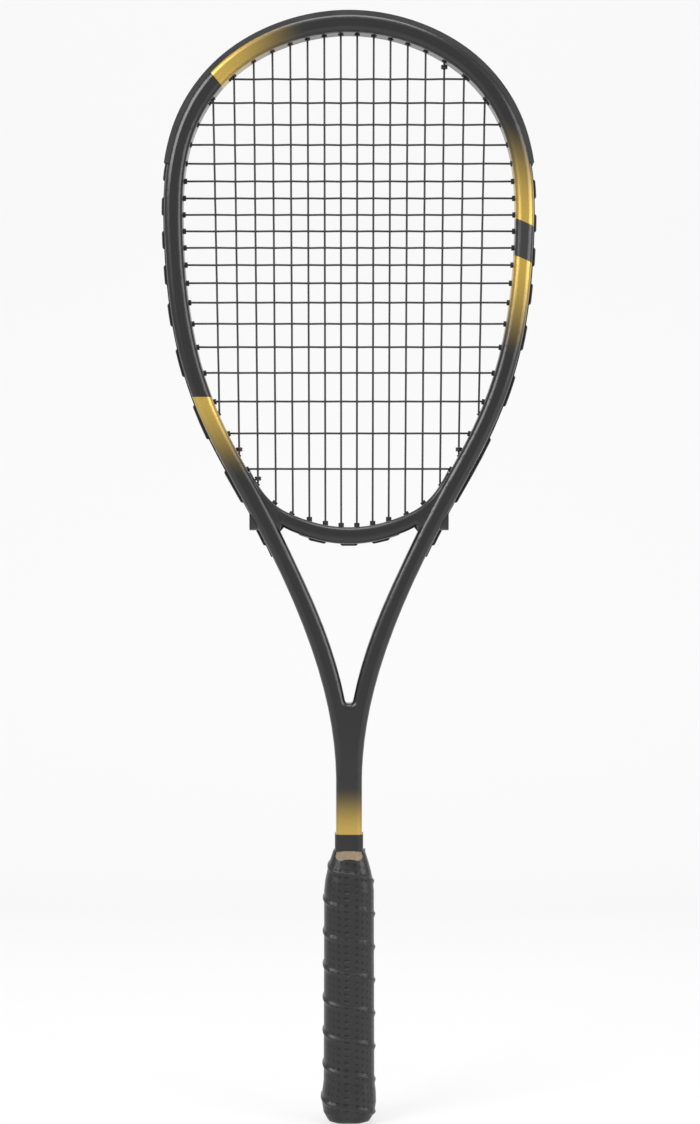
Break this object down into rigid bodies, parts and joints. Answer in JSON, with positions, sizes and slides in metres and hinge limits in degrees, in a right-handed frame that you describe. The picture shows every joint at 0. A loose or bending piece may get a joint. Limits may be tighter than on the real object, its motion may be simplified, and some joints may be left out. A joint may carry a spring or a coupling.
{
  "type": "squash racket",
  "caption": "Squash racket: hollow frame with a strung teardrop head, open throat and bridge, thin shaft and a wrapped handle with a flared butt.",
  "frame": {"origin": "on the handle axis at the butt end", "axes": "+Z from butt to crown, +X across the face to the right seen from the front, the front of the string bed faces -Y"},
  "size_m": [0.2318, 0.0316, 0.685],
  "materials": {
    "carbon_frame": "satin black lacquer with gold fades",
    "nylon_bumper": "matte moulded nylon",
    "nylon_strip": "moulded nylon",
    "string": "coated multifilament",
    "pallet_foam": "moulded foam",
    "cap_plastic": "moulded plastic",
    "grip": "perforated polyurethane wrap",
    "tape": "vinyl tape"
  },
  "bodies": {
    "root": {"frame": "carbon_frame", "throat_bridge": "carbon_frame", "bumper_guard": "nylon_bumper", "side_strip_left": "nylon_strip", "side_strip_right": "nylon_strip", "bridge_strip": "nylon_strip", "crown_grommets": "nylon_strip", "side_grommets_left": "nylon_strip", "side_grommets_right": "nylon_strip", "bridge_grommets": "nylon_strip", "main_string": "string", "cross_string": "string", "main_knots": "string", "cross_knots": "string", "handle_pallet": "pallet_foam", "butt_cap": "cap_plastic", "shaft_plug": "pallet_foam", "grip_tape": "grip", "finishing_tape": "tape"}
  },
  "joints": []
}
